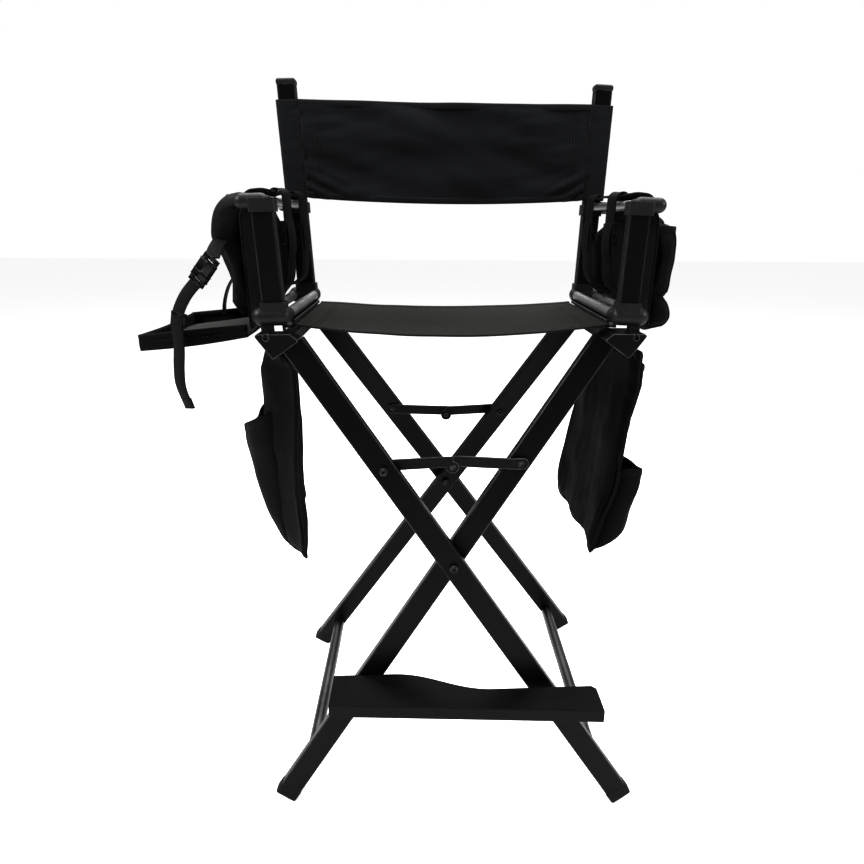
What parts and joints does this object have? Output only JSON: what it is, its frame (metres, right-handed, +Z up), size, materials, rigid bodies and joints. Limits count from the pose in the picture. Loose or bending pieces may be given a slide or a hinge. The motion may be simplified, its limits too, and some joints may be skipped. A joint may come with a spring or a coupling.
{
  "type": "folding director chair",
  "caption": "Tall folding director's chair with crossed black legs, canvas seat and back, a footrest, silver side tubes and fabric organisers that hang from both arms.",
  "frame": {"origin": "on the floor under the middle of the seat", "axes": "+Z up, the chair's front faces -Y, +X is to the right of a person looking at the front"},
  "size_m": [0.819, 0.5684, 1.1694],
  "materials": {
    "back_fabric": "matte",
    "bag_fabric": "matte",
    "black_moulding": "satin",
    "black_powder_coat": "satin",
    "board_black": "satin",
    "rubber_foot": "matte",
    "seat_fabric": "matte",
    "silver_anodised": "satin",
    "steel_fastener": "satin",
    "webbing": "matte"
  },
  "bodies": {
    "pivot": {"pivot_bolts": "steel_fastener", "pivot_nuts": "steel_fastener", "pivot_spacers": "steel_fastener"},
    "leg_frame_a": {"leg_front_a": "black_powder_coat", "leg_rear_a": "black_powder_coat", "foot_caps_a": "rubber_foot", "hinge_brackets_a": "black_powder_coat", "top_rail_a": "black_powder_coat", "lower_rail_a": "silver_anodised", "hinge_pins_a": "steel_fastener", "brace_bolts": "steel_fastener", "footrest_peg": "silver_anodised"},
    "leg_frame_b": {"leg_front_b": "black_powder_coat", "leg_rear_b": "black_powder_coat", "foot_caps_b": "rubber_foot", "hinge_brackets_b": "black_powder_coat", "top_rail_b": "black_powder_coat", "lower_rail_b": "silver_anodised", "hinge_pins_b": "steel_fastener", "footrest_bolt": "steel_fastener"},
    "arm_left": {"seat_blocks_left": "black_moulding", "arm_blocks_left": "black_moulding", "seat_tubes_left": "silver_anodised", "arm_tubes_left": "silver_anodised", "posts_left": "black_powder_coat", "post_cap_left": "black_moulding", "seat_rail_left": "black_powder_coat", "seat_dowel_left": "silver_anodised", "seat_canvas": "seat_fabric", "back_canvas": "back_fabric", "left_side_panel": "bag_fabric", "left_hangers": "webbing", "left_pouch": "bag_fabric", "left_tray_straps": "webbing", "left_buckle_sockets": "black_moulding", "left_long_bag": "bag_fabric"},
    "arm_right": {"seat_blocks_right": "black_moulding", "arm_blocks_right": "black_moulding", "seat_tubes_right": "silver_anodised", "arm_tubes_right": "silver_anodised", "posts_right": "black_powder_coat", "post_cap_right": "black_moulding", "seat_rail_right": "black_powder_coat", "seat_dowel_right": "silver_anodised", "right_side_panel": "bag_fabric", "right_hangers": "webbing", "right_pocket_upper": "bag_fabric", "right_pocket_lower": "bag_fabric", "right_long_bag": "bag_fabric"},
    "brace_front_left": {"brace_front_left": "black_powder_coat"},
    "brace_front_right": {"brace_front_right": "black_powder_coat", "brace_pins_front": "steel_fastener"},
    "brace_rear_left": {"brace_rear_left": "black_powder_coat"},
    "brace_rear_right": {"brace_rear_right": "black_powder_coat", "brace_pins_rear": "steel_fastener"},
    "footrest": {"footrest_board": "board_black", "footrest_hinge_plate": "steel_fastener"},
    "tray": {"left_tray": "bag_fabric", "left_strap_ends": "webbing", "left_buckle_plugs": "black_moulding"}
  },
  "joints": [
    {"name": "fold", "type": "hinge", "parent": "pivot", "child": "leg_frame_a", "pos_m": [0, 0, 0.428], "axis": [0, 1, 0], "range_deg": [0, 31], "deforming": ["seat_canvas", "back_canvas"]},
    {"name": "fold_b", "type": "hinge", "parent": "pivot", "child": "leg_frame_b", "pos_m": [0, 0, 0.428], "axis": [0, 1, 0], "range_deg": [-31, 0]},
    {"name": "arm_left_hinge", "type": "hinge", "parent": "leg_frame_a", "child": "arm_left", "pos_m": [-0.27, 0, 0.7825], "axis": [0, 1, 0], "range_deg": [-31, 0]},
    {"name": "arm_right_hinge", "type": "hinge", "parent": "leg_frame_b", "child": "arm_right", "pos_m": [0.27, 0, 0.7825], "axis": [0, 1, 0], "range_deg": [0, 31]},
    {"name": "brace_front_bolt", "type": "hinge", "parent": "leg_frame_a", "child": "brace_front_left", "pos_m": [-0.10642, -0.15774, 0.584], "axis": [0, 1, 0], "range_deg": [-120.49, 0]},
    {"name": "brace_front_rivet", "type": "hinge", "parent": "brace_front_left", "child": "brace_front_right", "pos_m": [0, -0.14597, 0.575], "axis": [0, 1, 0], "range_deg": [0, 178.48]},
    {"name": "brace_rear_bolt", "type": "hinge", "parent": "leg_frame_a", "child": "brace_rear_left", "pos_m": [-0.10642, 0.15774, 0.584], "axis": [0, 1, 0], "range_deg": [-120.49, 0]},
    {"name": "brace_rear_rivet", "type": "hinge", "parent": "brace_rear_left", "child": "brace_rear_right", "pos_m": [0, 0.14597, 0.575], "axis": [0, 1, 0], "range_deg": [0, 178.48]},
    {"name": "footrest_hinge", "type": "hinge", "parent": "leg_frame_b", "child": "footrest", "pos_m": [-0.16235, -0.19602, 0.19], "axis": [0, 0.991, -0.134], "range_deg": [-57.5, 0]},
    {"name": "tray_hinge", "type": "hinge", "parent": "arm_left", "child": "tray", "pos_m": [-0.3035, 0, 0.788], "axis": [0, 1, 0], "range_deg": [-50, 0]}
  ],
  "couplings": [
    {"joint": "fold_b", "follows": "fold", "ratio": -1},
    {"joint": "arm_left_hinge", "follows": "fold", "ratio": -1},
    {"joint": "arm_right_hinge", "follows": "fold", "ratio": 1},
    {"joint": "brace_front_bolt", "follows": "fold", "ratio": -3.8707},
    {"joint": "brace_front_rivet", "follows": "fold", "ratio": 5.7414},
    {"joint": "brace_rear_bolt", "follows": "fold", "ratio": -3.8707},
    {"joint": "brace_rear_rivet", "follows": "fold", "ratio": 5.7414},
    {"joint": "footrest_hinge", "follows": "fold", "ratio": -1.8387}
  ]
}
